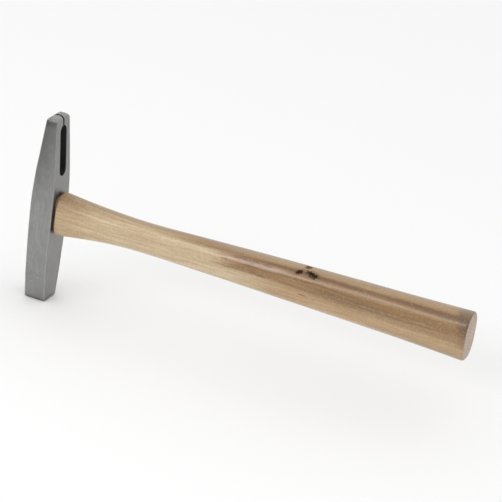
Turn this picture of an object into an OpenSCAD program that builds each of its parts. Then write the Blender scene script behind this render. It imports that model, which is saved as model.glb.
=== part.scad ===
// Magnetic tack hammer: a one-piece steel head with a split, horseshoe-shaped starting end,
// hung on a wooden handle whose tenon is spread in the eye by a wood wedge and a steel wedge.
//
// Frame: the origin is the centre of the striking face, +Z runs up the head to the split end,
// +X runs along the handle to its butt, and Y is the width of the hammer.

/* [Head] */
// Length of the head, striking face to split end
head_len = 114.4; // [106:0.2:125]
// Side of the square striking face
face_side = 13.4; // [11:0.1:15]
// Width of the head across its cheeks, at the eye
eye_width = 20.6; // [19.6:0.1:23]
// Thickness of the head along the handle, at the eye
eye_thick = 14.3; // [13:0.1:16]
// Width of the split end
tip_width = 15.1; // [13:0.1:17]
// Thickness of the split end
tip_thick = 6.9; // [6:0.1:9]
// Radius of the split end's rounded nose
tip_round = 2.7; // [1:0.1:2.8]
// Height of the handle's axis above the striking face
axis_height = 55.4; // [52:0.1:58]
// Width of the chamfers along the head's long edges
edge_chamfer = 0.9; // [0.4:0.1:1.2]

/* [Horseshoe gap] */
// Width of the gap between the two poles
gap_width = 7.6; // [5:0.1:8]
// Height of the gap's rounded lower end
gap_bottom = 78.4; // [76:0.1:84]
// Depth of the closed bridge between the gap and the split end
bridge = 5.5; // [4.5:0.1:8]
// Width of the slit that parts the bridge into two poles
slit_width = 1.5; // [0.8:0.1:2]

/* [Eye and wedges] */
// Height of the eye on the handle side
eye_h = 22; // [18:0.1:23]
// Width of the eye on the handle side
eye_w = 14.6; // [12:0.1:15]
// Corner radius of the eye on the handle side
eye_corner = 4.5; // [3:0.1:5.5]
// How far each wall of the eye flares out at the far side
eye_flare = 0.5; // [0.2:0.05:0.8]
// Thickness of the wood wedge at its driven end
wood_wedge_t = 3.2; // [2.4:0.1:4]
// Depth of the wood wedge in the tenon
wood_wedge_depth = 12.2; // [9:0.1:12.5]
// Thickness of the steel wedge at its driven end
steel_wedge_t = 2.2; // [1.4:0.1:3]
// Width of the steel wedge
steel_wedge_w = 10.8; // [8:0.1:12]
// Depth of the steel wedge in the tenon
steel_wedge_depth = 9.5; // [7:0.1:10]

/* [Handle] */
// Length of the hammer along the handle
overall_len = 267.4; // [250:0.2:300]
// Gap between the head and the handle's shoulder
shoulder_gap = 1.25; // [0.6:0.05:2]
// Height of the handle at its shoulder
shoulder_h = 25.5; // [23.8:0.1:27]
// Height of the handle where the flare behind the head ends
flare_h = 20.5; // [18:0.1:22]
// Height of the handle at its neck
neck_h = 17.1; // [14:0.1:19]
// Height of the handle between neck and grip
throat_h = 19.3; // [16:0.1:21]
// Height of the handle at the front of the grip
grip_h = 22.5; // [20:0.1:25]
// Height of the handle at the back of the grip
heel_h = 25; // [22:0.1:27]
// Height of the handle at its butt
butt_h = 28.3; // [25:0.1:31]
// Width of the handle at its shoulder
shoulder_w = 17.6; // [16.6:0.1:19]
// Width of the handle at its neck
neck_w = 16.5; // [14:0.1:18]
// Width of the handle in the middle of the grip
grip_w = 17.4; // [15:0.1:20]
// Width of the handle at its butt
butt_w = 20.1; // [18:0.1:23]
// How far the middle of the handle bows up towards the split end
camber = 0.8; // [0:0.1:2]
// Squareness of the handle's section: 2 is an ellipse, more is squarer
section_power = 2.5; // [2:0.1:4]
// Squareness of the section's underside at the shoulder, which eases off along the handle
shoulder_power = 3.6; // [2:0.1:4]
// Radius of the rounded edge around the butt
butt_round = 1.6; // [0.8:0.1:3]

/* [Hidden] */
$fn = 64;

// Stations along the head, and the heights between which its outline changes.
head_stations = 36;
cheek_belly_low = 44;
cheek_belly_high = 56;
cheek_ease = 12;
cheek_power = 2.2;
swell_low = 22;
swell_high = 60;
taper_ease = 27;
face_chamfer = 0.8;
tip_steps = 6;

// How far a cutting shape passes beyond what it cuts, and the clearance of one piece in another.
past = 2;
fit_gap = 0.05;

// The eye is straight on the handle side and flares from flare_start to the far side. The
// tenon and both wedges are trimmed at driven_x, just inside the head's crowned far side.
far_face = -eye_thick / 2;
near_face = eye_thick / 2;
end_recess = 0.25;
driven_x = far_face + end_recess;
flare_start = 1;
flare_rate = eye_flare / (flare_start - far_face);
wedge_tip_t = 0.6;
saw_kerf = 0.8;
kerf_past_wedge = 0.6;

// The grip is lofted from rings of points.
shoulder_x = near_face + shoulder_gap;
butt_x = overall_len + far_face;
grip_len = butt_x - shoulder_x;
ring_points = 40;
grip_stations = 42;
round_steps = 3;
shoulder_round = 0.7;
shoulder_reach = 36;
height_sections = [
  [0, shoulder_h], [0.086, flare_h], [0.205, neck_h], [0.383, throat_h],
  [0.6, grip_h], [0.82, heel_h], [1, butt_h]
];
width_sections = [[0, shoulder_w], [0.205, neck_w], [0.522, grip_w], [1, butt_w]];

steel = "#8f8f8b";
hickory = "#c8a880";
wedge_wood = "#b08a60";
wedge_steel = "#77777a";

// ---------------------------------------------------------------- curves

function clamp01(t) = min(max(t, 0), 1);
function smoothstep(t) = let (u = clamp01(t)) u * u * (3 - 2 * u);

// A drop that starts level, bends over a length of ease, and then runs straight.
function eased_drop(d, ease) = d <= 0 ? 0 : d < ease ? d * d / (2 * ease) : d - ease / 2;

// Share of the way from the widest point to the tip at height z, for a taper that starts at start.
function taper_share(z, start, ease) = eased_drop(z - start, ease) / eased_drop(head_len - start, ease);

// Half the head's width across the cheeks at height z, before the end chamfers.
function half_cheek(z) =
  let (
    below = max((cheek_belly_low - z) / cheek_belly_low, 0),
    low = (eye_width - face_side) / 2 * pow(below, cheek_power),
    high = (eye_width - tip_width) / 2 * taper_share(z, cheek_belly_high, cheek_ease)
  )
  eye_width / 2 - low - high;

// Half the head's thickness along the handle at height z, before the end chamfers.
function half_thick(z) =
  let (
    swell = (eye_thick - face_side) / 2 * (1 - smoothstep((z - swell_low) / (swell_high - swell_low))),
    high = (eye_thick - tip_thick) / 2 * taper_share(z, swell_high, taper_ease)
  )
  eye_thick / 2 - swell - high;

// Slope of a table of [place, value] pairs at its pair i, and the pair that x comes after.
function table_slope(t, i) =
  let (a = t[max(i - 1, 0)], b = t[min(i + 1, len(t) - 1)]) (b[1] - a[1]) / (b[0] - a[0]);
function table_span(t, x, i = 0) = (i >= len(t) - 2 || x < t[i + 1][0]) ? i : table_span(t, x, i + 1);

// Value at x on a smooth curve through a table of [place, value] pairs.
function smooth_at(t, x) =
  let (
    i = table_span(t, x),
    a = t[i],
    b = t[i + 1],
    d = b[0] - a[0],
    s = (x - a[0]) / d
  )
  (2 * s * s * s - 3 * s * s + 1) * a[1]
  + (s * s * s - 2 * s * s + s) * d * table_slope(t, i)
  + (3 * s * s - 2 * s * s * s) * b[1]
  + (s * s * s - s * s) * d * table_slope(t, i + 1);

// ---------------------------------------------------------------- head

// Outline of the head in one view: half widths at heights zs, mirrored about the Z axis.
module head_outline(halves, zs) {
  last = len(zs) - 1;
  right = [for (i = [0:last]) [halves[i], zs[i]]];
  left = [for (i = [last:-1:0]) [-halves[i], zs[i]]];
  polygon(concat(right, left));
}

// Stations of the head: a chamfer at the striking face, even steps, and the rounded nose.
body_zs = [
  for (i = [0:head_stations])
    face_chamfer + (head_len - face_chamfer - tip_round) * i / head_stations
];
nose_angles = [for (i = [1:tip_steps]) 90 * i / tip_steps];
head_zs = concat(
  [0],
  body_zs,
  [for (a = nose_angles) head_len - tip_round * (1 - sin(a))]
);

// Half widths of an outline at all its stations. The share of an end's inset that the
// outline takes is 1 where it looks along X or Y, and more where it looks across a corner.
function with_ends(halves, share = 1) =
  let (last = halves[len(halves) - 1])
  concat(
    [halves[0] - share * face_chamfer],
    halves,
    [for (a = nose_angles) last - share * tip_round * (1 - cos(a))]
  );

// The solid that an outline in the plane of an axis and Z sweeps, square to that plane.
module swept_outline(halves, turn) {
  rotate([0, 0, turn])
    rotate([90, 0, 0])
      linear_extrude(height = 2 * eye_width, center = true)
        head_outline(halves, head_zs);
}

module head_blank() {
  cheeks = [for (z = body_zs) half_cheek(z)];
  sides = [for (z = body_zs) half_thick(z)];
  corners = [for (z = body_zs) (half_cheek(z) + half_thick(z) - edge_chamfer) / sqrt(2)];
  intersection() {
    swept_outline(with_ends(sides), 0);
    swept_outline(with_ends(cheeks), 90);
    swept_outline(with_ends(corners, sqrt(2)), 45);
    swept_outline(with_ends(corners, sqrt(2)), -45);
  }
}

// A bar along X with a rounded-rectangle section, of which the corners and walls may flare.
module flared_bar(x_from, x_to, h, w, corner, flare, shrink = 0) {
  length = x_from - x_to;
  r1 = corner - shrink;
  r2 = r1 + flare;
  cy = w / 2 - corner;
  cz = h / 2 - corner;
  translate([x_from, 0, axis_height]) rotate([0, -90, 0]) {
    for (a = [-1, 1], b = [-1, 1])
      translate([a * cz, b * cy, 0]) cylinder(h = length, r1 = r1, r2 = r2);
    rotate([0, -90, -90]) linear_extrude(height = 2 * cz, center = true)
      polygon([[0, -cy - r1], [length, -cy - r2], [length, cy + r2], [0, cy + r1]]);
    rotate([90, 0, 0]) linear_extrude(height = 2 * cy, center = true)
      polygon([[-cz - r1, 0], [-cz - r2, length], [cz + r2, length], [cz + r1, 0]]);
  }
}

// The eye, or with shrink the tenon that fills it, between two places along X.
module eye_shape(x_from, x_to, shrink = 0) {
  flared_bar(x_from, flare_start, eye_h, eye_w, eye_corner, 0, shrink);
  flared_bar(flare_start, x_to, eye_h, eye_w, eye_corner, flare_rate * (flare_start - x_to), shrink);
}

// The gap between the poles: round at both ends, and open to the split end through a slit.
module horseshoe_gap() {
  r = gap_width / 2;
  low = gap_bottom + r;
  high = head_len - bridge - r;
  for (z = [low, high])
    translate([0, 0, z]) rotate([0, 90, 0]) cylinder(h = eye_thick + past, r = r, center = true);
  translate([0, 0, (low + high) / 2]) cube([eye_thick + past, gap_width, high - low], center = true);
  translate([-eye_thick, -slit_width / 2, high]) cube([2 * eye_thick, slit_width, head_len]);
}

module head() {
  color(steel) difference() {
    head_blank();
    eye_shape(near_face + past, far_face - past);
    horseshoe_gap();
  }
}

// ---------------------------------------------------------------- handle

// Height of the handle's axis at x, which the camber lifts between shoulder and butt.
function grip_axis(x) =
  let (t = (x - shoulder_x) / grip_len) axis_height + camber * 4 * t * (1 - t);

// Squareness of the section at x. The underside is squarer towards the shoulder.
function power_at(x, under) =
  let (ease = under ? smoothstep((x - shoulder_x) / shoulder_reach) : 1)
  shoulder_power + (section_power - shoulder_power) * ease;

function signed_power(v, power) = sign(v) * pow(abs(v), 2 / power);

// One ring of the grip at x, drawn in by inset from the handle's full section.
function grip_ring(x, inset) =
  let (
    t = (x - shoulder_x) / grip_len,
    half_h = smooth_at(height_sections, t) / 2 - inset,
    half_w = smooth_at(width_sections, t) / 2 - inset
  )
  [
    for (k = [0:ring_points - 1])
      let (
        a = 360 * k / ring_points,
        power = power_at(x, a > 180)
      )
      [x, half_w * signed_power(cos(a), power), grip_axis(x) + half_h * signed_power(sin(a), power)]
  ];

// Places and insets of the rings: a rounded shoulder, the grip, and a rounded butt.
grip_places = concat(
  [
    for (i = [0:round_steps - 1])
      let (a = 90 * i / round_steps)
      [shoulder_x + shoulder_round * (1 - cos(a)), shoulder_round * (1 - sin(a))]
  ],
  [
    for (i = [0:grip_stations])
      [shoulder_x + shoulder_round + (grip_len - shoulder_round - butt_round) * i / grip_stations, 0]
  ],
  [
    for (i = [1:round_steps])
      let (a = 90 * i / round_steps)
      [butt_x - butt_round * (1 - sin(a)), butt_round * (1 - cos(a))]
  ]
);

module grip() {
  rings = len(grip_places);
  points = [for (p = grip_places) each grip_ring(p[0], p[1])];
  sides = [
    for (i = [0:rings - 2], k = [0:ring_points - 1])
      let (
        next = (k + 1) % ring_points,
        here = i * ring_points,
        there = here + ring_points
      )
      [here + k, there + k, there + next, here + next]
  ];
  front = [for (k = [0:ring_points - 1]) k];
  back = [for (k = [ring_points - 1:-1:0]) (rings - 1) * ring_points + k];
  polyhedron(points = points, faces = concat([front], sides, [back]));
}

module tenon() {
  eye_shape(shoulder_x + past, driven_x, fit_gap);
}

// A wedge driven into the tenon from its far end: a taper along X, width wide across it.
// A tall wedge runs the height of the eye, and the other kind lies across it. The pocket
// that a wedge sits in is the same shape, grown by grow and carried on ahead of the wedge.
module wedge_blank(thick, depth, width, tall, grow = 0, ahead = 0) {
  rate = (thick - wedge_tip_t) / 2 / depth;
  driven_half = thick / 2 + rate * ahead + grow;
  tip_half = wedge_tip_t / 2 + grow;
  start = driven_x - ahead;
  end = driven_x + depth;
  translate([0, 0, axis_height])
    rotate([tall ? 0 : 90, 0, 0])
      linear_extrude(height = width + 2 * grow, center = true)
        polygon([[start, -driven_half], [end, -tip_half], [end, tip_half], [start, driven_half]]);
}

module wood_wedge_blank(grow = 0, ahead = 0) {
  wedge_blank(wood_wedge_t, wood_wedge_depth, eye_h + 2 * past, true, grow, ahead);
}

module steel_wedge_blank(grow = 0, ahead = 0) {
  wedge_blank(steel_wedge_t, steel_wedge_depth, steel_wedge_w, false, grow, ahead);
}

// The saw cut that the wood wedge opens, which runs a little deeper than the wedge.
module saw_cut() {
  length = past + wood_wedge_depth + kerf_past_wedge;
  translate([driven_x - past + length / 2, 0, axis_height])
    cube([length, saw_kerf, eye_h + 2 * past], center = true);
}

module handle() {
  color(hickory) difference() {
    union() {
      grip();
      tenon();
    }
    saw_cut();
    wood_wedge_blank(fit_gap, past);
    steel_wedge_blank(fit_gap, past);
  }
}

module wood_wedge() {
  color(wedge_wood) difference() {
    intersection() {
      wood_wedge_blank();
      tenon();
    }
    steel_wedge_blank(fit_gap, past);
  }
}

module steel_wedge() {
  color(wedge_steel) steel_wedge_blank();
}

// ---------------------------------------------------------------- assembly

head();
handle();
wood_wedge();
steel_wedge();
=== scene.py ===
"""Looks for the magnetic tack hammer: ground steel head, clear-coated hickory handle, two wedges.

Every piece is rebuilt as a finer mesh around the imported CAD, whose outline is probed with rays, so the
shapes here follow the frame. Lengths are metres in the frame: +X along the handle, +Z up the head.
"""

import math
from functools import reduce

import bmesh
import bpy
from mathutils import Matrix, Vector, noise
from mathutils.bvhtree import BVHTree


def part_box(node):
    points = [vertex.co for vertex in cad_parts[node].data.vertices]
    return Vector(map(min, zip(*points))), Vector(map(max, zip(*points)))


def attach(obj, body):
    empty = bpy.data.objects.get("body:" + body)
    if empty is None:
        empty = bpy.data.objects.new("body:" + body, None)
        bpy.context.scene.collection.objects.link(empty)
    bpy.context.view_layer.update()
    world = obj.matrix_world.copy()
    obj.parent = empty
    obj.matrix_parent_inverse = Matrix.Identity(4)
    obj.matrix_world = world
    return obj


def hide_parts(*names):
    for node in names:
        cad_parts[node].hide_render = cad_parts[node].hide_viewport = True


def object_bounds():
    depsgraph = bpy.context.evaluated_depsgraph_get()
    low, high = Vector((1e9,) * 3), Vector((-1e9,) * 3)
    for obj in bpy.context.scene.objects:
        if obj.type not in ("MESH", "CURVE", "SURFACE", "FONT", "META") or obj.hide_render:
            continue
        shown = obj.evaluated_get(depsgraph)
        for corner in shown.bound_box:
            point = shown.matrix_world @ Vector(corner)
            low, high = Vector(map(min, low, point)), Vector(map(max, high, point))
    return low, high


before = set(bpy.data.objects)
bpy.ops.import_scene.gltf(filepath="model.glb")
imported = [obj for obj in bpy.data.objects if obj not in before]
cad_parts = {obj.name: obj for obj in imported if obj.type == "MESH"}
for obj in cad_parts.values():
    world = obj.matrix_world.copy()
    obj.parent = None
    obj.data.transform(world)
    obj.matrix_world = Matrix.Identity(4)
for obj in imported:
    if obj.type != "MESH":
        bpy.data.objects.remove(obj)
cad_low, cad_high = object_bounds()

MM = 0.001

# Places read from the frame.
HEAD_LOW, HEAD_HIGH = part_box("head")
HANDLE_LOW, HANDLE_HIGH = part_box("handle")
WOOD_LOW, WOOD_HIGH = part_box("wood_wedge")
STEEL_LOW, STEEL_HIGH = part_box("steel_wedge")
HEAD_LEN = HEAD_HIGH.z
EYE_Z = (STEEL_LOW.z + STEEL_HIGH.z) / 2
DRIVEN_X = HANDLE_LOW.x
BUTT_X = HANDLE_HIGH.x

# The head's rounded edges: along it, round the striking face, at the nose, and at the mouths of its holes.
EDGE_R = 0.6 * MM
FACE_R = 0.8 * MM
NOSE_R = 2.6 * MM
RIM_R = 0.22 * MM
# How much lower the middle of the striking face is than its rim, and the radius where that ends.
FACE_CROWN = 0.12 * MM
CROWN_REACH = 6.0 * MM
# How far wear reaches from the head's long edges, from the edge of its face, and from its split end.
LONG_EDGE_REACH = 1.2 * MM
END_EDGE_REACH = 1.5 * MM
NOSE_REACH = 3.2 * MM
NOSE_EASE = 2.2 * MM
# How deep that wear is, and how much it varies.
EDGE_WEAR, EDGE_WANDER = 0.03 * MM, 0.07 * MM
NOSE_WEAR, NOSE_LUMP = 0.09 * MM, 0.13 * MM
FACE_NICK = 0.35 * MM

# The eye: its corner radius, and how far its walls flare out between FLARE_START and the far side.
EYE_CORNER = 4.5 * MM
EYE_FLARE = 0.5 * MM
FLARE_START = 1.0 * MM
# The wedges and the saw cut: clearance, thickness at the tip, and softened edges.
FIT_GAP = 0.06 * MM
WEDGE_TIP = 0.6 * MM
SAW_KERF = 0.8 * MM
SAW_PAST_WEDGE = 0.6 * MM
WOOD_WEDGE_EDGE = 0.12 * MM
STEEL_WEDGE_EDGE = 0.15 * MM
# How far a cutting shape passes beyond what it cuts.
PAST = 2.0 * MM

# The handle's rounded ends, and its section, which is squarer underneath at the shoulder.
SHOULDER_R = 0.7 * MM
BUTT_R = 1.5 * MM
SECTION_POWER = 2.5
SHOULDER_POWER = 3.6
SHOULDER_REACH = 36.0 * MM
# The depth of the sanding waves, and the knot: its place, and the torn grain's depth and reach.
SANDING_WAVE = 0.08 * MM
KNOT_X = 163.5 * MM
KNOT_DENT = 0.22 * MM
KNOT_REACH = 2.4 * MM

# Points round each ring of the head, of the handle and of the eye.
HEAD_COUNT = 136
HANDLE_COUNT = 96
EYE_COUNT = 96


# ---------------------------------------------------------------- small tools


def lerp(a, b, t):
    return a + (b - a) * t


def smoothstep(t):
    t = min(max(t, 0.0), 1.0)
    return t * t * (3 - 2 * t)


def signed_power(v, power):
    return math.copysign(abs(v) ** power, v)


class Probe:
    """Measures a CAD node's surface with rays."""

    def __init__(self, node):
        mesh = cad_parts[node].data
        self.tree = BVHTree.FromPolygons([v.co for v in mesh.vertices], [p.vertices for p in mesh.polygons])

    def far(self, point, direction, reach=0.5):
        """The outermost place along direction from point, or point itself where nothing is met."""
        start = Vector(point) + Vector(direction) * reach
        hit = self.tree.ray_cast(start, -Vector(direction))[0]
        return hit if hit is not None else Vector(point)

    def wall(self, point, direction):
        """The first surface met from a point in the open."""
        return self.tree.ray_cast(Vector(point), Vector(direction))[0]


class Table:
    """Values along a line, from samples at even steps that are smoothed a little."""

    def __init__(self, low, high, count, sample):
        self.low, self.high, self.count = low, high, count
        raw = [sample(lerp(low, high, i / count)) for i in range(count + 1)]
        self.values = [
            (raw[max(i - 1, 0)] + 2 * raw[i] + raw[min(i + 1, count)]) / 4 if 0 < i < count else raw[i]
            for i in range(count + 1)
        ]

    def __call__(self, at):
        t = (at - self.low) / (self.high - self.low) * self.count
        i = min(max(int(math.floor(t)), 0), self.count - 1)
        return lerp(self.values[i], self.values[i + 1], t - i)


# ---------------------------------------------------------------- outlines probed from the CAD

head_probe = Probe("head")
handle_probe = Probe("handle")
ACROSS, ALONG, UP = Vector((0, 1, 0)), Vector((1, 0, 0)), Vector((0, 0, 1))


def probe_cheek(z):
    return head_probe.far((0, 0, z), ACROSS).y


def probe_side(z):
    """Measured beside the gap and the eye, just inside the edge of the cheek."""
    inside_edge = 1.3 * MM
    return head_probe.far((0, probe_cheek(z) - inside_edge, z), ALONG).x


# The head is measured between its rounded ends.
HEAD_SAMPLES = 90
BODY_LOW, BODY_HIGH = FACE_R + 0.6 * MM, HEAD_LEN - NOSE_R - 0.8 * MM
half_cheek = Table(BODY_LOW, BODY_HIGH, HEAD_SAMPLES, probe_cheek)
half_side = Table(BODY_LOW, BODY_HIGH, HEAD_SAMPLES, probe_side)

# The gap, the slit and the eye are measured from a place inside each.
GAP_MIDDLE = Vector((0, 0, 0.83 * HEAD_LEN))
GAP_R = head_probe.wall(GAP_MIDDLE, ACROSS).y
GAP_LOW = head_probe.wall(GAP_MIDDLE, -UP).z + GAP_R
GAP_HIGH = head_probe.wall(GAP_MIDDLE + ACROSS * GAP_R / 2, UP).z - GAP_R * math.sqrt(0.75)
SLIT_HALF = head_probe.wall((0, 0, HEAD_LEN - 3.5 * MM), ACROSS).y
EYE_MIDDLE = Vector((4 * MM, 0, EYE_Z))
EYE_HALF_W = head_probe.wall(EYE_MIDDLE, ACROSS).y
EYE_HALF_H = head_probe.wall(EYE_MIDDLE, UP).z - EYE_Z
SHOULDER_X = handle_probe.wall((HEAD_HIGH.x, EYE_HALF_W + 0.6 * MM, EYE_Z), ALONG).x

# The grip is measured between the rounded shoulder and the rounded butt.
GRIP_SAMPLES = 120
GRIP_LOW, GRIP_HIGH = SHOULDER_X + SHOULDER_R + 0.3 * MM, BUTT_X - BUTT_R - 0.4 * MM
grip_top = Table(GRIP_LOW, GRIP_HIGH, GRIP_SAMPLES, lambda x: handle_probe.far((x, 0, EYE_Z), UP).z)
grip_bottom = Table(GRIP_LOW, GRIP_HIGH, GRIP_SAMPLES, lambda x: handle_probe.far((x, 0, EYE_Z), -UP).z)
grip_side = Table(GRIP_LOW, GRIP_HIGH, GRIP_SAMPLES, lambda x: handle_probe.far((x, 0, EYE_Z), ACROSS).y)


def grip_middle(x):
    return (grip_top(x) + grip_bottom(x)) / 2


# ---------------------------------------------------------------- mesh building


def link(name, data):
    """A new object in the scene."""
    obj = bpy.data.objects.new(name, data)
    bpy.context.scene.collection.objects.link(obj)
    return obj


def mesh_object(name, bm):
    """A new object in the scene from a bmesh, which is used up."""
    mesh = bpy.data.meshes.new(name)
    bm.to_mesh(mesh)
    bm.free()
    return link(name, mesh)


def loft(name, rings, start_pole=None, end_pole=None):
    """A closed mesh through rings of the same count. An end with a pole is closed by a fan of
    triangles round it, and an end without one by a single face."""
    bm = bmesh.new()
    rows = [[bm.verts.new(p) for p in ring] for ring in rings]
    count = len(rings[0])
    for a, b in zip(rows, rows[1:]):
        for k in range(count):
            n = (k + 1) % count
            bm.faces.new((a[k], b[k], b[n], a[n]))
    for row, pole, flip in ((rows[0], start_pole, False), (rows[-1], end_pole, True)):
        loop = row[::-1] if flip else row
        if pole is None:
            bm.faces.new(loop)
            continue
        tip = bm.verts.new(pole)
        for k in range(count):
            bm.faces.new((loop[k], loop[(k + 1) % count], tip))
    bmesh.ops.recalc_face_normals(bm, faces=bm.faces)
    return mesh_object(name, bm)


def apply_modifiers(obj):
    """Replaces obj's mesh with its evaluated one."""
    graph = bpy.context.evaluated_depsgraph_get()
    mesh = bpy.data.meshes.new_from_object(obj.evaluated_get(graph))
    obj.modifiers.clear()
    obj.data = mesh


def cut(obj, *cutters):
    """Takes the cutters out of obj, and removes them."""
    for cutter in cutters:
        mod = obj.modifiers.new("cut", "BOOLEAN")
        mod.operation = "DIFFERENCE"
        mod.solver = "EXACT"
        mod.object = cutter
        apply_modifiers(obj)
        bpy.data.objects.remove(cutter)


def finish_shading(obj, sharp_degrees):
    """Smooth faces, with creases only where the surface really turns."""
    obj.data.shade_smooth()
    obj.data.set_sharp_from_angle(angle=math.radians(sharp_degrees))
    mod = obj.modifiers.new("weighted", "WEIGHTED_NORMAL")
    mod.keep_sharp = True
    apply_modifiers(obj)


def rounded_outline(count, half_w, half_h, r):
    """Points (y, z) round a rounded rectangle at even steps, from the middle of its +Y side."""
    flat_w, flat_h = half_w - r, half_h - r
    arc = math.pi / 2 * r
    quarter = flat_h + arc + flat_w
    points = []
    for k in range(count):
        turn, s = divmod(k / count * 4 * quarter, quarter)
        turn = int(turn) % 4
        if turn % 2:
            s = quarter - s
        if s < flat_h:
            y, z = half_w, s
        elif s < flat_h + arc:
            a = (s - flat_h) / r
            y, z = flat_w + r * math.cos(a), flat_h + r * math.sin(a)
        else:
            y, z = flat_w - (s - flat_h - arc), half_h
        points.append(((y, z), (-y, z), (-y, -z), (y, -z))[turn])
    return points


def fillet(steps, r):
    """(inset, depth) pairs round a quarter circle, from the full section to the end face."""
    angles = [math.pi / 2 * i / steps for i in range(steps + 1)]
    return [(r * (1 - math.cos(a)), r * (1 - math.sin(a))) for a in angles]


# ---------------------------------------------------------------- head


def head_ring(z, inset, shrink=1.0, lift=None):
    """A ring of the head with the full section found at z, drawn in by inset and scaled by shrink.
    lift(x, y, z) gives the height of each point, where the ring isn't level."""
    half_x = half_side(z) - inset
    half_y = half_cheek(z) - inset
    ring = []
    for x, y in rounded_outline(HEAD_COUNT, half_x, half_y, min(EDGE_R, half_x * 0.8)):
        x, y = x * shrink, y * shrink
        ring.append(Vector((x, y, z if lift is None else lift(x, y, z))))
    return ring


def face_lift(x, y, z):
    """The striking face is crowned: its middle is the lowest point."""
    return z + FACE_CROWN * min((x * x + y * y) / CROWN_REACH**2, 1.0)


def rim_lift(x, y, z):
    """The rounded edge of the striking face starts at the rim of its crown."""
    return z + FACE_CROWN * (1 - z / FACE_R)


def head_rings():
    """From the middle of the striking face, up the head, to the middle of the split end."""
    rings = []
    cap_steps = [0.12, 0.26, 0.4, 0.54, 0.68, 0.8, 0.9]
    for s in cap_steps:
        rings.append(head_ring(0, FACE_R, s, face_lift))
    for inset, depth in reversed(fillet(5, FACE_R)):
        rings.append(head_ring(depth, inset, 1.0, rim_lift))
    count = 160
    low, high = FACE_R, HEAD_LEN - NOSE_R
    for i in range(1, count + 1):
        rings.append(head_ring(lerp(low, high, i / count), 0))
    for inset, depth in fillet(12, NOSE_R)[1:]:
        rings.append(head_ring(HEAD_LEN - depth, inset))
    for s in reversed(cap_steps):
        rings.append(head_ring(HEAD_LEN, NOSE_R, s))
    return rings


def near_long_edge(p):
    """1 on the head's four long edges, and 0 a few millimetres away from them."""
    off = max(half_side(p.z) - abs(p.x), 0) + max(half_cheek(p.z) - abs(p.y), 0)
    return math.exp(-((off / LONG_EDGE_REACH) ** 2))


def near_end_edge(p):
    """1 round the edge of the striking face, and 0 a few millimetres away from it."""
    from_side = max(min(half_side(p.z) - abs(p.x), half_cheek(p.z) - abs(p.y)), 0)
    return math.exp(-(((p.z + from_side) / END_EDGE_REACH) ** 2))


def near_nose(p):
    """1 at the split end, and 0 below it."""
    return smoothstep((p.z - (HEAD_LEN - NOSE_REACH)) / NOSE_EASE)


def wear_head(obj):
    """Hand grinding: edges that wander a little, a nicked striking edge, and a lumpy nose."""
    for v in obj.data.vertices:
        p = v.co.copy()
        wander = noise.noise(p * 110 + Vector((0, 0, 7.3))) + 0.5 * noise.noise(p * 330)
        nick = max(noise.noise(p * 900 + Vector((4.1, 0, 0))) - 0.1, 0)
        inward = near_long_edge(p) * (EDGE_WEAR + EDGE_WANDER * wander)
        inward += near_end_edge(p) * FACE_NICK * nick
        outline = Vector((p.x, p.y, 0))
        if outline.length > 1 * MM:
            v.co -= outline.normalized() * inward
        lump = noise.noise(p * 620) + 0.6 * noise.noise(p * 1300)
        v.co.z -= near_nose(p) * (NOSE_WEAR + NOSE_LUMP * lump)


def gap_outline(grow):
    """The keyhole that the gap and the slit make, as (y, z) points from the slit's top on +Y, downwards."""
    r = GAP_R + grow
    slit = SLIT_HALF + grow * 0.7
    top = HEAD_LEN + 3 * MM
    joint = math.asin(slit / r)
    slit_steps, arc_steps, wall_steps = 6, 14, 30
    points = []
    for i in range(slit_steps + 1):
        points.append((slit, lerp(top, GAP_HIGH + r * math.cos(joint), i / slit_steps)))
    for i in range(1, arc_steps + 1):
        a = lerp(joint, math.pi / 2, i / arc_steps)
        points.append((r * math.sin(a), GAP_HIGH + r * math.cos(a)))
    for i in range(1, wall_steps):
        points.append((r, lerp(GAP_HIGH, GAP_LOW, i / wall_steps)))
    for i in range(arc_steps + 1):
        a = math.pi / 2 * i / arc_steps
        points.append((r * math.cos(a), GAP_LOW - r * math.sin(a)))
    return points + [(-y, z) for y, z in reversed(points[:-1])]


# A cutter's mouth as (growth, depth) pairs in rim radii, from outside the head to the hole's wall.
RIM_PROFILE = [(1.6, -6.0), (1.6, -0.16), (0.66, 0.06), (0.29, 0.29), (0.06, 0.66), (0.0, 1.0)]


def through_cutter(name, outline):
    """A cutter right through the head along X, whose mouths open out with a small rounded rim.
    outline(grow, side) gives the (y, z) points on the handle side, 1, or the far side, -1. The wall
    between the rims, and the deepest step of each rim, get the second material."""
    rings = []
    for side in (1, -1):
        part = []
        for grow, depth in RIM_PROFILE:
            ring = []
            for y, z in outline(grow * RIM_R, side):
                x = side * (half_side(z) - depth * RIM_R)
                ring.append(Vector((x, y, z)))
            part.append(ring)
        rings += part if side == 1 else part[::-1]
    obj = loft(name, rings)

    # Two empty slots, in step with the head's two materials.
    for _ in range(2):
        obj.data.materials.append(None)
    count = len(rings[0])
    wall_band = len(RIM_PROFILE) - 1
    for i, face in enumerate(obj.data.polygons):
        inside = abs(i // count - wall_band) <= 1
        face.material_index = 1 if inside else 0
    return obj


def eye_outline(grow, side):
    extra = grow + (EYE_FLARE if side < 0 else 0.0)
    points = rounded_outline(EYE_COUNT, EYE_HALF_W + extra, EYE_HALF_H + extra, EYE_CORNER + extra)
    return [(y, EYE_Z + z) for y, z in points]


def mark_edges(obj):
    """Stores where the head is worn, for its material."""
    mesh = obj.data
    measures = {"long_edge": near_long_edge, "end_edge": near_end_edge, "nose": near_nose}
    for name, measure in measures.items():
        layer = mesh.attributes.new(name, "FLOAT", "POINT")
        for i, v in enumerate(mesh.vertices):
            layer.data[i].value = measure(v.co)


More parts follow.
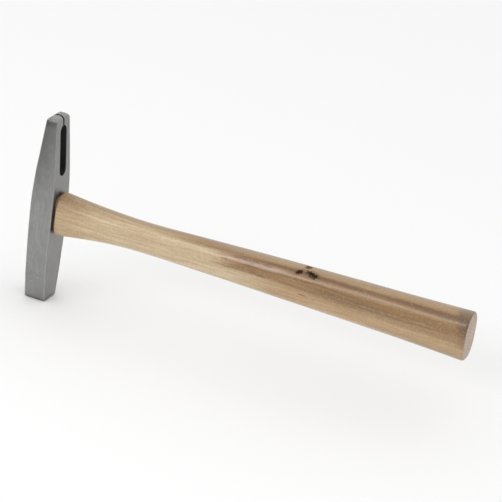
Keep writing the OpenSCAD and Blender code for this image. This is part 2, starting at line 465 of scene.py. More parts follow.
def build_head():
    obj = loft("steel_head", head_rings(), (0, 0, 0), (0, 0, HEAD_LEN))
    wear_head(obj)
    obj.data.materials.append(ground_steel())
    obj.data.materials.append(dark_scale())
    gap = through_cutter("gap_cutter", lambda grow, side: gap_outline(grow))
    eye = through_cutter("eye_cutter", eye_outline)
    cut(obj, gap, eye)
    mark_edges(obj)
    finish_shading(obj, 50)
    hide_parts("head")
    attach(obj, "root")


# ---------------------------------------------------------------- handle


def section_power(x, upper):
    """The power of the superellipse at x, for the upper or the lower half of the section."""
    if upper:
        return SECTION_POWER
    return lerp(SHOULDER_POWER, SECTION_POWER, smoothstep((x - SHOULDER_X) / SHOULDER_REACH))


def grip_ring(x, inset=0.0, shrink=1.0, at=None):
    """One ring of the grip with the full section found at x, drawn in by inset and scaled by shrink.
    The ring lies at x, or at another place along the handle."""
    half_h = ((grip_top(x) - grip_bottom(x)) / 2 - inset) * shrink
    half_w = (grip_side(x) - inset) * shrink
    place = x if at is None else at
    ring = []
    for k in range(HANDLE_COUNT):
        a = 2 * math.pi * k / HANDLE_COUNT
        power = section_power(x, k <= HANDLE_COUNT / 2)
        y = half_w * signed_power(math.cos(a), 2 / power)
        z = half_h * signed_power(math.sin(a), 2 / power)
        ring.append(Vector((place, y, grip_middle(x) + z)))
    return ring


def tenon_ring(x, scale=1.0):
    """A ring of the tenon, which fills the eye and flares with it towards the far side."""
    flare = EYE_FLARE * max(FLARE_START - x, 0) / (FLARE_START - HEAD_LOW.x)
    extra = flare - FIT_GAP
    points = rounded_outline(HANDLE_COUNT, EYE_HALF_W + extra, EYE_HALF_H + extra, EYE_CORNER + extra)
    return [Vector((x, y * scale, EYE_Z + z * scale)) for y, z in points]


def handle_rings():
    """From the middle of the driven end, along the tenon, the shoulder and the grip, to the butt's."""
    rings = []
    for s in (0.12, 0.3, 0.5, 0.7, 0.85, 0.95):
        rings.append(tenon_ring(DRIVEN_X, s))
    tenon_steps = 12
    for i in range(tenon_steps + 1):
        rings.append(tenon_ring(lerp(DRIVEN_X, SHOULDER_X, i / tenon_steps)))
    inner = rings[-1]
    outer = grip_ring(GRIP_LOW, SHOULDER_R, at=SHOULDER_X)
    for t in (0.33, 0.67):
        rings.append([a.lerp(b, t) for a, b in zip(inner, outer)])
    for inset, depth in reversed(fillet(4, SHOULDER_R)):
        rings.append(grip_ring(GRIP_LOW, inset, at=SHOULDER_X + depth))
    low, high = SHOULDER_X + SHOULDER_R, BUTT_X - BUTT_R
    count = 210
    for i in range(1, count + 1):
        rings.append(grip_ring(lerp(low, high, i / count)))
    for inset, depth in fillet(6, BUTT_R)[1:]:
        rings.append(grip_ring(GRIP_HIGH, inset, at=BUTT_X - depth))
    for s in (0.93, 0.8, 0.62, 0.42, 0.22, 0.08):
        rings.append(grip_ring(GRIP_HIGH, BUTT_R, s, at=BUTT_X))
    return rings


def wedge_prism(name, low, high, tall, grow=0.0, ahead=0.0, tip=WEDGE_TIP):
    """A tapered wedge between two corners, driven along +X from its thick end. A tall wedge tapers
    across Y, and the other kind across Z. A cutter is grown all round and carried on ahead of it."""
    depth = high.x - low.x
    thin = 1 if tall else 2
    wide = 2 if tall else 1
    thick_half = (high[thin] - low[thin]) / 2
    rate = (thick_half - tip / 2) / depth
    middle = (low + high) / 2
    rings = []
    for x, half in (
        (low.x - ahead, thick_half + rate * ahead + grow),
        (low.x + depth * 0.5, thick_half - rate * depth * 0.5 + grow),
        (high.x, tip / 2 + grow),
    ):
        half_wide = (high[wide] - low[wide]) / 2 + grow
        ring = []
        for a, b in ((-1, -1), (1, -1), (1, 1), (-1, 1)):
            p = Vector((x, 0, 0))
            p[thin] = middle[thin] + a * half
            p[wide] = middle[wide] + b * half_wide
            ring.append(p)
        rings.append(ring)
    return loft(name, rings)


def mark_grain(obj):
    """Stores where each point lies in the section: level is -1 at the bottom and 1 at the top, and
    side is -1 on the +Y side and 1 on the -Y side."""
    mesh = obj.data
    level = mesh.attributes.new("level", "FLOAT", "POINT")
    side = mesh.attributes.new("side", "FLOAT", "POINT")
    for i, v in enumerate(mesh.vertices):
        x = min(max(v.co.x, GRIP_LOW), GRIP_HIGH)
        half_h = (grip_top(x) - grip_bottom(x)) / 2
        level.data[i].value = (v.co.z - grip_middle(x)) / half_h
        side.data[i].value = -v.co.y / grip_side(x)


def sand_handle(obj):
    """Hand sanding: the grip waves a little along its length, and sinks at the knot, where the grain
    is torn. The tear is longer along the handle than round it."""
    knot = Vector((KNOT_X, -grip_side(KNOT_X) * 0.6, lerp(EYE_Z, grip_top(KNOT_X), 0.87)))
    shorten = 0.45
    for v in obj.data.vertices:
        p = v.co.copy()
        if p.x < GRIP_LOW:
            continue
        wave = noise.noise(Vector((p.x * 28, p.y * 90, p.z * 90)))
        away = p - knot
        away.x *= shorten
        torn = math.exp(-((away.length / KNOT_REACH) ** 2)) * (1 + 1.5 * noise.noise(p * 700))
        outline = Vector((0, p.y, p.z - EYE_Z))
        v.co -= outline.normalized() * (SANDING_WAVE * wave + KNOT_DENT * torn)


def wedge_cutters():
    """The saw cut, which runs a little deeper than the wood wedge, and the wedges' pockets."""
    saw_low = Vector((DRIVEN_X - PAST, -SAW_KERF / 2, WOOD_LOW.z - PAST))
    saw_high = Vector((WOOD_HIGH.x + SAW_PAST_WEDGE, SAW_KERF / 2, WOOD_HIGH.z + PAST))
    saw = wedge_prism("saw_cutter", saw_low, saw_high, True, tip=SAW_KERF)
    tall_low = Vector((WOOD_LOW.x, WOOD_LOW.y, WOOD_LOW.z - PAST))
    tall_high = Vector((WOOD_HIGH.x, WOOD_HIGH.y, WOOD_HIGH.z + PAST))
    wood = wedge_prism("wood_cutter", tall_low, tall_high, True, FIT_GAP, PAST)
    steel = wedge_prism("steel_cutter", STEEL_LOW, STEEL_HIGH, False, FIT_GAP, PAST)
    return saw, wood, steel


def build_handle():
    start = Vector((DRIVEN_X, 0, EYE_Z))
    end = Vector((BUTT_X, 0, grip_middle(GRIP_HIGH)))
    obj = loft("wood_handle", handle_rings(), start, end)
    sand_handle(obj)
    obj.data.materials.append(hickory())
    cut(obj, *wedge_cutters())
    mark_grain(obj)
    finish_shading(obj, 40)
    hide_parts("handle")
    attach(obj, "root")


def soften(obj, width, segments):
    """Rounds obj's sharp edges."""
    mod = obj.modifiers.new("soft", "BEVEL")
    mod.width = width
    mod.segments = segments
    mod.limit_method = "ANGLE"
    mod.angle_limit = math.radians(35)
    apply_modifiers(obj)


def build_wedges():
    wood = wedge_prism("wedge_of_wood", WOOD_LOW, WOOD_HIGH, True)
    pocket = wedge_prism("pocket_cutter", STEEL_LOW, STEEL_HIGH, False, FIT_GAP, PAST)
    cut(wood, pocket)
    soften(wood, WOOD_WEDGE_EDGE, 2)
    wood.data.materials.append(wedge_wood())
    steel = wedge_prism("wedge_of_steel", STEEL_LOW, STEEL_HIGH, False)
    soften(steel, STEEL_WEDGE_EDGE, 3)
    steel.data.materials.append(wedge_steel())
    for obj, node, slot in ((wood, "wood_wedge", "wedge_wood"), (steel, "steel_wedge", "wedge_steel")):
        finish_shading(obj, 40)
        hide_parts(node)
        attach(obj, "root")


# ---------------------------------------------------------------- material graphs


def srgb(r, g, b):
    """Linear colour, with alpha, from 0-255 display values."""

    def lin(v):
        v /= 255
        return v / 12.92 if v <= 0.04045 else ((v + 0.055) / 1.055) ** 2.4

    return (lin(r), lin(g), lin(b), 1.0)


class Graph:
    """The nodes of a material or a world, written as expressions. Lengths in it are millimetres, a mask
    is a value from 0 to 1, and every value is a number or a node's output."""

    # Sockets of the Mix node, which share their names and so go by number.
    MIX_FACTOR = 0
    MIX_NUMBERS = (2, 3)
    MIX_COLOURS = (6, 7)
    MIXED_COLOUR = 2

    def __init__(self, owner, output="ShaderNodeOutputMaterial"):
        owner.use_nodes = True
        self.owner = owner
        self.tree = owner.node_tree
        self.tree.nodes.clear()
        self.out = self.tree.nodes.new(output)

    def put(self, socket, value):
        """Links a node's output to a socket, or sets a number. None leaves the socket as it is."""
        if isinstance(value, bpy.types.NodeSocket):
            self.tree.links.new(value, socket)
        elif value is not None:
            socket.default_value = value

    def node(self, kind, inputs=None, output=0, **settings):
        """Adds a node, and gives its output of that number or name."""
        n = self.tree.nodes.new(kind)
        for key, value in settings.items():
            setattr(n, key, value)
        for key, value in (inputs or {}).items():
            self.put(n.inputs[key], value)
        return n.outputs[output]

    def math(self, operation, *values):
        return self.node("ShaderNodeMath", dict(enumerate(values)), operation=operation)

    def add(self, *values):
        return reduce(lambda a, b: self.math("ADD", a, b), values)

    def times(self, *values):
        return reduce(lambda a, b: self.math("MULTIPLY", a, b), values)

    def largest(self, *values):
        return reduce(lambda a, b: self.math("MAXIMUM", a, b), values)

    def outside(self, mask):
        return self.math("SUBTRACT", 1.0, mask)

    def length(self, a, b):
        """The length of the diagonal of a and b."""
        return self.math("SQRT", self.add(self.times(a, a), self.times(b, b)))

    def step(self, value, low, high):
        """0 at low, 1 at high, smooth between. low may be the larger."""
        inputs = {"Value": value, "From Min": low, "From Max": high}
        return self.node("ShaderNodeMapRange", inputs, interpolation_type="SMOOTHSTEP")

    def window(self, value, low, high, soft):
        """1 between low and high, with soft sides."""
        rise = self.step(value, low - soft, low + soft)
        fall = self.step(value, high + soft, high - soft)
        return self.times(rise, fall)

    def mix(self, mask, a, b):
        """Colour a where mask is 0, and b where it is 1."""
        first, second = self.MIX_COLOURS
        inputs = {self.MIX_FACTOR: mask, first: a, second: b}
        return self.node("ShaderNodeMix", inputs, self.MIXED_COLOUR, data_type="RGBA")

    def mix_numbers(self, mask, a, b):
        first, second = self.MIX_NUMBERS
        return self.node("ShaderNodeMix", {self.MIX_FACTOR: mask, first: a, second: b})

    def paint(self, tone, colour, *masks):
        """tone with colour over it, as strong as the product of the masks."""
        return self.mix(self.times(*masks), tone, colour)

    def attribute(self, name):
        return self.node("ShaderNodeAttribute", output="Fac", attribute_name=name)

    def place(self):
        """The point in millimetres, in the frame."""
        coords = self.node("ShaderNodeTexCoord", output="Object")
        return self.node("ShaderNodeVectorMath", {0: coords, "Scale": 1 / MM}, operation="SCALE")

    def parts(self, vector):
        """The X, Y and Z of a vector."""
        split = self.tree.nodes.new("ShaderNodeSeparateXYZ")
        self.put(split.inputs[0], vector)
        return split.outputs[0], split.outputs[1], split.outputs[2]

    def facing(self):
        """How squarely the surface faces along X, Y and Z, whichever way."""
        normal = self.node("ShaderNodeNewGeometry", output="Normal")
        return [self.math("ABSOLUTE", part) for part in self.parts(normal)]

    def shifted(self, place, y, z):
        """place moved by y and z."""
        offset = self.node("ShaderNodeCombineXYZ", {1: y, 2: z})
        return self.node("ShaderNodeVectorMath", {0: place, 1: offset}, operation="ADD")

    def noise(self, place, waves, detail, roughness):
        """Noise with so many waves a millimetre: one number, or one each for X, Y and Z."""
        if isinstance(waves, tuple):
            place = self.node("ShaderNodeVectorMath", {0: place, 1: waves}, operation="MULTIPLY")
            waves = 1.0
        inputs = {"Vector": place, "Scale": waves, "Detail": detail, "Roughness": roughness}
        return self.node("ShaderNodeTexNoise", inputs)

    def bump(self, height, depth, strength, normal=None):
        """A normal that a height from 0 to 1 bends, depth millimetres high, on top of another normal."""
        inputs = {"Height": height, "Distance": depth * MM, "Strength": strength, "Normal": normal}
        return self.node("ShaderNodeBump", inputs)

    def end(self, shader):
        """Ends the graph with a shader, and gives the material or world."""
        self.tree.links.new(shader, self.out.inputs["Surface"])
        return self.owner

    def surface(self, **inputs):
        names = {key.replace("_", " "): value for key, value in inputs.items()}
        return self.end(self.node("ShaderNodeBsdfPrincipled", names))


def material_graph(name):
    return Graph(bpy.data.materials.new(name))


# ---------------------------------------------------------------- steel

GROUND_DARK, GROUND_PALE = srgb(130, 130, 129), srgb(166, 166, 165)
BROAD_LINE = srgb(160, 160, 159)
BLOTCH = srgb(130, 130, 130)
MOTTLE = srgb(118, 117, 116)
SHADED_CHEEK = srgb(88, 88, 86)
SHADED_SIDE = srgb(118, 117, 116)
PAINTED_CORNER_SHADE = srgb(92, 84, 76)
NOSE_PALE, NOSE_DARK = srgb(176, 175, 172), srgb(96, 92, 88)
WORN_EDGE_AND_HIGHLIGHT = srgb(190, 190, 188)
NICK = srgb(70, 67, 64)
SCALE_BLACK, SCALE_GREY = srgb(14, 14, 14), srgb(40, 38, 36)
WEDGE_STEEL_DARK, WEDGE_STEEL_PALE = srgb(96, 96, 98), srgb(140, 140, 142)


def shade_corner(g, x, y, z, tone):
    """Painted shade, deep in the corner between the head and the handle's shoulder."""
    half_high, half_wide = 12.9, 8.9
    up = g.math("ABSOLUTE", g.times(g.add(z, -EYE_Z / MM), 1 / half_high))
    across = g.math("ABSOLUTE", g.times(y, 1 / half_wide))
    rings = g.add(g.math("POWER", up, SECTION_POWER), g.math("POWER", across, SECTION_POWER))
    round_shoulder = g.step(g.math("POWER", rings, 1 / SECTION_POWER), 1.14, 0.98)
    return g.paint(tone, PAINTED_CORNER_SHADE, round_shoulder, g.step(x, 5.8, 6.8), 0.22)


def shade_faces(g, x, z, tone):
    """Painted shade: the cheeks darken towards the split end, most along the edge away from the handle, and
    the sides facing along X are a little darker.
    """
    head_top = HEAD_LEN / MM
    along_x, along_y, _ = g.facing()
    away = g.step(x, 6.0, -6.0)
    climb = g.times(g.step(z, 50.0, 108.0), g.add(0.46, g.times(away, 0.34)))
    under_nose = g.times(g.step(z, head_top - 8.0, head_top - 2.0), 0.35)
    cheek = g.math("MINIMUM", g.add(climb, under_nose), 1.0)
    tone = g.paint(tone, SHADED_CHEEK, cheek, g.step(along_y, 0.45, 0.85))
    return g.paint(tone, SHADED_SIDE, g.step(along_x, 0.45, 0.85), 0.30)


def ground_steel():
    """Belt-ground steel: fine lines along the head, soft blotches, a mottled nose, shaded corners."""
    g = material_graph("ground_steel")
    place = g.place()
    x, y, z = g.parts(place)
    lines = g.noise(place, (5.5, 5.5, 0.07), 4.0, 0.6)
    broad = g.noise(place, (1.1, 1.1, 0.03), 3.0, 0.5)
    mottle = g.noise(place, 1.5, 3.0, 0.65)
    blotch = g.noise(place, 0.12, 3.0, 0.6)
    nose = g.attribute("nose")

    tone = g.mix(g.step(lines, 0.28, 0.72), GROUND_DARK, GROUND_PALE)
    tone = g.paint(tone, BROAD_LINE, g.step(broad, 0.40, 0.72), 0.40)
    tone = g.paint(tone, BLOTCH, g.step(blotch, 0.42, 0.72), 0.35)
    tone = g.paint(tone, MOTTLE, g.step(mottle, 0.50, 0.80), 0.26)
    tone = shade_faces(g, x, z, tone)
    tone = shade_corner(g, x, y, z, tone)
    tone = g.paint(tone, NOSE_PALE, nose, g.step(mottle, 0.40, 0.60))
    tone = g.paint(tone, NOSE_DARK, nose, g.step(mottle, 0.56, 0.74), 0.8)
    # The long edges are worn bright, with a painted highlight along them.
    tone = g.paint(tone, WORN_EDGE_AND_HIGHLIGHT, g.step(g.attribute("long_edge"), 0.55, 1.0), 0.42)
    nicked = g.step(g.noise(place, 0.9, 3.0, 0.7), 0.36, 0.58)
    tone = g.paint(tone, NICK, g.attribute("end_edge"), nicked, 0.75)

    rough = g.add(0.30, g.times(nose, 0.14), g.times(lines, 0.14), g.times(mottle, 0.10))
    relief = g.bump(lines, 0.04, 0.6)
    relief = g.bump(mottle, 0.06, 0.5, relief)
    return g.surface(Base_Color=tone, Metallic=1.0, Roughness=rough, Normal=relief)


def dark_scale():
    """Forging scale left inside the gap and the eye: near black and dull."""
    g = material_graph("dark_scale")
    place = g.place()
    mottle = g.noise(place, 0.9, 4.0, 0.6)
    tone = g.mix(mottle, SCALE_BLACK, SCALE_GREY)
    rough = g.add(0.65, g.times(mottle, 0.2))
    grit = g.bump(g.noise(place, 2.2, 3.0, 0.6), 0.12, 0.5)
    return g.surface(Base_Color=tone, Metallic=0.2, Roughness=rough, Normal=grit)


def wedge_steel():
    """The driven end of a steel wedge: dull, hammered and ground flush."""
    g = material_graph("wedge_steel")
    lines = g.noise(g.place(), (1.0, 0.3, 3.0), 4.0, 0.6)
    tone = g.mix(lines, WEDGE_STEEL_DARK, WEDGE_STEEL_PALE)
    rough = g.add(0.35, g.times(lines, 0.2))
    relief = g.bump(lines, 0.06, 0.5)
    return g.surface(Base_Color=tone, Metallic=1.0, Roughness=rough, Normal=relief)


# ---------------------------------------------------------------- wood
# Places along the handle are millimetres in the frame. Places round it are degrees up from its middle.

SHOULDER_AT = SHOULDER_X / MM
DRIVEN_AT = DRIVEN_X / MM
BUTT_AT = BUTT_X / MM
KNOT_AT = KNOT_X / MM

SAP_PALE, SAP_CLOUD = srgb(219, 199, 163), srgb(208, 186, 151)
TAN_PALE, TAN_CLOUD = srgb(191, 159, 117), srgb(179, 147, 105)
SAP_STREAK, SAP_BAND = srgb(172, 138, 96), srgb(178, 146, 104)
HEART_PALE, HEART_DARK = srgb(154, 116, 66), srgb(123, 90, 48)
TOP_TAN = srgb(173, 139, 88)
DARK_BAND = srgb(96, 56, 14)
VEIN, VEIN_START = srgb(100, 70, 42), srgb(116, 84, 56)
HANDLED_NECK = srgb(172, 139, 101)
HANDLED_TOP = srgb(164, 132, 88)
RIDGE_STREAK_AND_SHADE = srgb(122, 98, 70)
THUMB_PATCH = srgb(126, 94, 60)
BUTT_STAIN = srgb(86, 58, 40)
SHADED_UNDERSIDE = srgb(116, 88, 60)
LATE_WOOD = srgb(132, 94, 54)
SPECK_DARK, SPECK_PALE = srgb(118, 88, 52), srgb(222, 200, 164)
FIBRE_DARK, FIBRE_PALE = srgb(134, 98, 60), srgb(226, 206, 176)
PORE = srgb(100, 70, 42)
KNOT_SHADE, KNOT_TEAR = srgb(112, 80, 52), srgb(44, 18, 10)
KNOT_HEART, KNOT_CHIP = srgb(18, 14, 9), srgb(62, 32, 18)
WORN_COAT_AND_HIGHLIGHT = srgb(200, 168, 150)
FLECK = srgb(104, 56, 30)
END_PALE, END_CLOUD = srgb(196, 180, 166), srgb(180, 162, 146)
END_RING, END_PORE = srgb(146, 120, 98), srgb(120, 94, 74)
PAINTED_TENON_SHADE = srgb(132, 110, 92)
WEDGE_DARK, WEDGE_PALE = srgb(120, 88, 58), srgb(176, 140, 100)

# Flecks beside the knot: place along, place round, and half length.
FLECKS = (
    (115.5, 27.0, 3.0),
    (131.0, 26.0, 6.0),
    (133.0, 8.5, 2.4),
    (138.0, 5.5, 3.6),
    (164.0, -7.0, 3.0),
)
FLECK_HALF_WIDTH = 2.4


class Wood:
    """The places and noises that the layers of the handle's wood share."""

    def __init__(self, g):
        self.g = g
        self.place = g.place()
        self.x, self.y, self.z = g.parts(self.place)
        level, side = g.attribute("level"), g.attribute("side")
        self.near = g.step(side, -0.05, 0.12)

        # The place round the handle, true and wandering a little as the grain does.
        power = g.math("MINIMUM", g.math("POWER", g.math("ABSOLUTE", level), SECTION_POWER / 2), 1.0)
        turn = g.math("ARCSINE", g.times(g.math("SIGN", level), power))
        self.angle = g.times(turn, math.degrees(1))
        self.wander = g.noise(self.place, (0.020, 0.07, 0.07), 2.0, 0.5)
        centred = g.add(self.wander, -0.5)
        self.grain_angle = g.add(self.angle, g.times(centred, 10.0), g.times(g.add(side, -1.0), 5.0))

        sway = g.times(centred, 3.0)
        swayed = g.shifted(self.place, sway, sway)
        self.fibre = g.noise(swayed, (0.030, 1.9, 1.9), 4.0, 0.60)
        self.streak = g.noise(swayed, (0.012, 0.55, 0.55), 3.0, 0.60)
        self.pores = g.noise(swayed, (0.14, 4.2, 4.2), 3.0, 0.6)
        self.cloud = g.noise(self.place, (0.035, 0.15, 0.15), 3.0, 0.55)
        self.chips = g.noise(self.place, 0.8, 3.0, 0.65)
        self.ragged = g.add(g.times(self.chips, 0.78), g.times(self.fibre, 0.22))
        self.late = self.late_wood()

    def late_wood(self):
        """Growth rings: arcs round a heart that lies far above the handle and behind it."""
        g = self.g
        heart_y, heart_z, ring_width = 70.0, 190.0, 2.1
        radius = g.length(g.add(self.y, -heart_y), g.add(self.z, -heart_z))
        swirl = g.add(g.times(self.wander, 9.0), g.times(self.cloud, 1.6))
        ring = g.math("FRACT", g.times(g.add(radius, swirl), 1 / ring_width))
        return g.times(g.step(ring, 0.45, 0.92), g.step(ring, 1.0, 0.94))

    def mark(self, along, around, half_length, half_width, slant=0.0):
        """A ragged oval at a place along and round the handle, whose middle line may slant."""
        g = self.g
        off_around = g.add(self.angle, -around)
        off_along = g.add(self.x, -along, g.times(off_around, slant))
        distance = g.length(g.times(off_along, 1 / half_length), g.times(off_around, 1 / half_width))
        return g.step(g.add(distance, g.times(self.ragged, 3.4)), 2.95, 2.05)


def sapwood(w):
    """Pale at the head's end, and tan along the grip."""
    g = w.g
    clouded = g.step(w.cloud, 0.35, 0.7)
    pale = g.mix(clouded, SAP_PALE, SAP_CLOUD)
    tan = g.mix(clouded, TAN_PALE, TAN_CLOUD)
    tone = g.mix(g.step(w.x, 110.0, 158.0), pale, tan)
    tone = g.paint(tone, SAP_STREAK, g.step(w.streak, 0.46, 0.68), 0.34)
    return g.paint(tone, SAP_BAND, g.window(w.angle, 12.0, 40.0, 10.0), 0.25)


def heartwood(w, tone):
    """Brown heartwood: along the top from the neck on, and down to the middle along the grip."""
    g = w.g
    brown = g.mix(g.step(w.streak, 0.36, 0.66), HEART_PALE, HEART_DARK)
    ragged_x = g.add(w.x, g.times(g.add(w.streak, -0.5), 40.0))
    lower_edge = g.add(-3.0, g.times(g.step(w.x, 140.0, 180.0), -11.0))
    lower = g.times(g.step(w.grain_angle, lower_edge, 9.0), g.step(ragged_x, 102.0, 124.0))
    upper = g.times(g.step(w.grain_angle, 44.0, 58.0), g.step(ragged_x, 44.0, 112.0))
    tone = g.mix(g.largest(lower, upper), tone, brown)

    # Lighter along the top, a dark band over the highlight, and a dark vein at half height.
    tone = g.paint(tone, TOP_TAN, g.step(w.angle, 57.0, 73.0), g.step(w.x, 60.0, 150.0), 0.75)
    band = g.times(g.window(w.grain_angle, 44.0, 58.0, 5.0), g.step(w.x, 80.0, 175.0))
    tone = g.paint(tone, DARK_BAND, band, g.add(0.50, g.times(w.streak, 0.6)))
    vein = g.times(g.window(w.grain_angle, 3.0, 20.0, 6.0), g.window(w.x, 172.0, 214.0, 16.0))
    tone = g.paint(tone, VEIN, vein, w.streak, 0.9)
    start = g.times(g.window(w.grain_angle, 18.0, 26.0, 4.0), g.window(w.x, 126.0, 152.0, 10.0))
    return g.paint(tone, VEIN_START, start, 0.4)


def handled_and_shaded(w, tone):
    """Handling has darkened the wood towards the head and along the top, and stained the butt. The top
    ridge has a dark streak with painted shade, and the underside towards the butt has painted shade.
    """
    g = w.g
    strength = g.add(0.45, g.times(g.step(w.angle, 4.0, 26.0), 0.25))
    tone = g.paint(tone, HANDLED_NECK, g.step(w.x, 40.0, 10.0), strength)
    tone = g.paint(tone, HANDLED_TOP, g.step(w.angle, 46.0, 66.0), g.step(w.x, 100.0, 40.0), 0.55)
    # A dark streak along the top ridge, with painted shade over it.
    tone = g.paint(tone, RIDGE_STREAK_AND_SHADE, g.step(w.angle, 74.0, 86.0), 0.45)
    patch = g.times(g.window(w.angle, 36.0, 74.0, 14.0), g.step(w.x, 38.0, 10.0))
    tone = g.paint(tone, THUMB_PATCH, patch, g.add(0.25, g.times(w.chips, 0.6)))
    start = g.add(BUTT_AT - 3.5, g.times(w.angle, -0.05))
    reach = g.step(g.add(w.x, g.times(w.ragged, 7.0)), start, g.add(start, 5.5))
    tone = g.paint(tone, BUTT_STAIN, reach, g.step(w.angle, -40.0, 40.0), 0.75)
    under = g.times(g.step(w.angle, -28.0, -44.0), g.step(w.x, 205.0, 240.0))
    return g.paint(tone, SHADED_UNDERSIDE, under, 0.40)


def grained(w, tone):
    """Growth lines, specks, fibres and pores over everything."""
    g = w.g
    tone = g.paint(tone, LATE_WOOD, w.late, 0.16)
    tone = g.paint(tone, SPECK_DARK, g.step(w.chips, 0.42, 0.66), 0.16)
    tone = g.paint(tone, SPECK_PALE, g.step(w.chips, 0.50, 0.34), 0.12)
    tone = g.paint(tone, FIBRE_DARK, g.step(w.fibre, 0.42, 0.74), 0.30)
    tone = g.paint(tone, FIBRE_PALE, g.step(w.fibre, 0.46, 0.24), 0.22)
    return g.paint(tone, PORE, g.step(w.pores, 0.58, 0.74), 0.28)


def knotted(w, tone):
    """The knot: shade round it, a slim reddish tear before it, its ragged black heart, and a chip over
    it. Gives the colour, and where the wood is broken."""
    g = w.g
    shade = g.times(w.mark(KNOT_AT, 58.0, 10.0, 17.0), w.near)
    tone = g.paint(tone, KNOT_SHADE, shade, 0.45)
    tear = g.times(w.mark(KNOT_AT - 4.2, 54.0, 2.1, 15.0, -0.10), w.near)
    tone = g.paint(tone, KNOT_TEAR, tear, 0.95)
    heart = g.times(w.mark(KNOT_AT + 3.5, 59.0, 4.2, 15.0, 0.07), w.near)
    tone = g.paint(tone, KNOT_HEART, heart, 0.97)
    chip = w.mark(KNOT_AT - 1.0, 84.0, 2.2, 6.0)
    return g.paint(tone, KNOT_CHIP, chip, 0.8), g.largest(tear, heart, chip)


def worn(w, tone):
    """A pinkish patch before the knot where the coat is worn, with a painted highlight in it, and short
    reddish flecks.
    """
    g = w.g
    patch = g.times(g.window(w.angle, 26.0, 47.0, 7.0), g.window(w.x, 112.0, 154.0, 10.0))
    blotches = g.step(g.noise(w.place, (0.14, 0.32, 0.32), 2.0, 0.5), 0.34, 0.60)
    # Worn coat, with the key light's highlight painted into it.
    tone = g.paint(tone, WORN_COAT_AND_HIGHLIGHT, patch, blotches, w.near, 0.45)
    for along, around, half_length in FLECKS:
        fleck = w.mark(along, around, half_length, FLECK_HALF_WIDTH)
        tone = g.paint(tone, FLECK, fleck, w.near, 0.65)
    return tone


def end_grained(w, tone, past_driven_end):
    """End grain on both end faces: pores as dots, and the rings as arcs. Gives the colour, and where
    the end grain is."""
    g = w.g
    at_butt = g.step(w.x, BUTT_AT - 1.6, BUTT_AT - 0.4)
    at_end = g.largest(at_butt, g.outside(past_driven_end))
    end = g.times(g.step(g.facing()[0], 0.70, 0.92), at_end)
    face = g.mix(g.step(w.cloud, 0.3, 0.7), END_PALE, END_CLOUD)
    face = g.paint(face, END_RING, w.late, 0.40)
    dots = g.noise(w.place, 3.0, 2.0, 0.6)
    face = g.paint(face, END_PORE, g.step(dots, 0.56, 0.70), 0.45)
    return g.mix(end, tone, face), end


def hickory():
    """Clear-coated hickory, with a black knot near the middle of the grip and plain ends."""
    g = material_graph("hickory")
    w = Wood(g)
    tone = grained(w, handled_and_shaded(w, heartwood(w, sapwood(w))))
    tone, broken = knotted(w, tone)
    tone = worn(w, tone)

    # The tenon is dark with painted shade between the shoulder and the head.
    on_tenon = g.step(w.x, SHOULDER_AT + 0.25, SHOULDER_AT - 0.15)
    past_driven_end = g.step(w.x, DRIVEN_AT + 0.3, DRIVEN_AT + 1.2)
    tone = g.paint(tone, PAINTED_TENON_SHADE, on_tenon, past_driven_end, 0.85)
    tone, end = end_grained(w, tone, past_driven_end)

    bare = g.largest(end, broken)
    grip_coat = g.add(0.25, g.times(g.step(w.x, 84.0, 118.0), 0.55))
    relief = g.bump(w.fibre, 0.06, 0.5)
    relief = g.bump(g.add(w.pores, g.times(broken, -1.5)), 0.10, 0.5, relief)
    return g.surface(
        Base_Color=tone,
        Roughness=g.add(0.34, g.times(w.fibre, 0.14), g.times(bare, 0.25)),
        Specular_IOR_Level=g.add(0.5, g.times(broken, -0.4)),
        Normal=relief,
        Coat_Weight=g.times(g.outside(bare), grip_coat),
        Coat_Roughness=0.24,
    )


def wedge_wood():
    """The driven end of a hardwood wedge: darker, crushed end grain."""
    g = material_graph("wedge_wood")
    rings = g.noise(g.place(), (0.2, 4.0, 0.8), 4.0, 0.6)
    tone = g.mix(rings, WEDGE_DARK, WEDGE_PALE)
    return g.surface(Base_Color=tone, Roughness=0.6, Normal=g.bump(rings, 0.08, 0.5))


# ---------------------------------------------------------------- studio

FLOOR_REACH = 6.0
FLOOR_DROP = 0.2 * MM
FLOOR_WHITE = (0.93, 0.93, 0.93, 1)

# Brightness of the room in front, what the backdrop adds to it, the ceiling, and what the camera sees.
ROOM, BACKDROP, CEILING, SEEN = 0.25, 0.85, 1.28, 1.25

# The key light is a wide strip, in front of the near side, above it and towards the head.
KEY_OFFSET = Vector((-0.42, -1.18, 0.70))
KEY_SIZE = (1.3, 0.30)
KEY_POWER = 4.6

# The reference view: degrees round towards the butt, upwards and rolled, then distance, lens, target.
VIEW_AZIMUTH, VIEW_ELEVATION, VIEW_ROLL = 19.92, 23.72, 8.39
VIEW_DISTANCE = 1.241
VIEW_LENS = 158.7
VIEW_TARGET = Vector((0.1274, 0, EYE_Z + 0.0115))


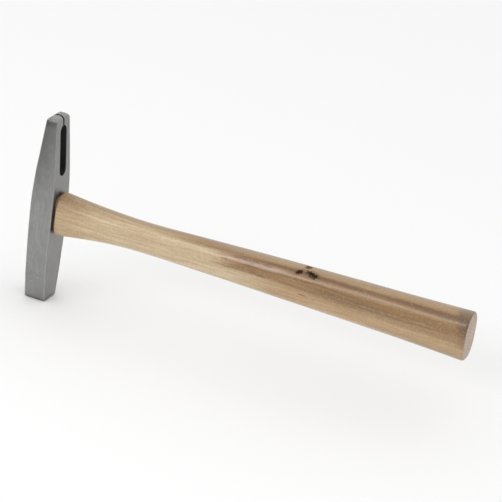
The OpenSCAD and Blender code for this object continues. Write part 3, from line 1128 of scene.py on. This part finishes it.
def build_floor():
    bm = bmesh.new()
    bmesh.ops.create_grid(bm, x_segments=2, y_segments=2, size=FLOOR_REACH)
    obj = mesh_object("floor", bm)
    obj.location.z = cad_low.z - FLOOR_DROP
    paint = material_graph("floor_paint").surface(Base_Color=FLOOR_WHITE, Roughness=0.9)
    obj.data.materials.append(paint)


def build_world():
    """A white backdrop behind, a dimmer room in front with a bright ceiling, and white for the camera."""
    world = bpy.data.worlds.new("studio")
    bpy.context.scene.world = world
    g = Graph(world, "ShaderNodeOutputWorld")
    _, y, z = g.parts(g.node("ShaderNodeTexCoord", output="Generated"))
    horizon = g.add(ROOM, g.times(g.step(y, -0.35, 0.35), BACKDROP))
    climb = g.step(z, 0.12, 0.55)
    light = g.add(g.times(horizon, g.outside(climb)), g.times(climb, CEILING))
    to_camera = g.node("ShaderNodeLightPath", output="Is Camera Ray")
    strength = g.mix_numbers(to_camera, light, SEEN)
    g.end(g.node("ShaderNodeBackground", {"Strength": strength}))


def build_key_light():
    middle = (cad_low + cad_high) / 2
    data = bpy.data.lights.new("key", "AREA")
    data.shape = "RECTANGLE"
    data.size, data.size_y = KEY_SIZE
    data.energy = KEY_POWER
    obj = link("key", data)
    obj.location = middle + KEY_OFFSET
    obj.rotation_euler = (middle - obj.location).to_track_quat("-Z", "Y").to_euler()


def build_camera():
    azimuth, elevation, roll = (math.radians(v) for v in (VIEW_AZIMUTH, VIEW_ELEVATION, VIEW_ROLL))
    right = Vector((math.cos(azimuth), math.sin(azimuth), 0))
    front = Vector((math.sin(azimuth), -math.cos(azimuth), 0))
    back = front * math.cos(elevation) + UP * math.sin(elevation)
    up = back.cross(right)
    data = bpy.data.cameras.new("camera")
    data.lens = VIEW_LENS
    data.sensor_width = 36
    data.clip_end = 50
    obj = link("camera", data)
    matrix = obj.matrix_world.to_3x3()
    matrix.col[0] = right * math.cos(roll) + up * math.sin(roll)
    matrix.col[1] = up * math.cos(roll) - right * math.sin(roll)
    matrix.col[2] = back
    obj.matrix_world = matrix.to_4x4()
    obj.location = VIEW_TARGET + back * VIEW_DISTANCE
    bpy.context.scene.camera = obj


build_head()
build_handle()
build_wedges()
build_floor()
build_world()
build_key_light()
build_camera()
bpy.context.scene.view_settings.view_transform = "Standard"
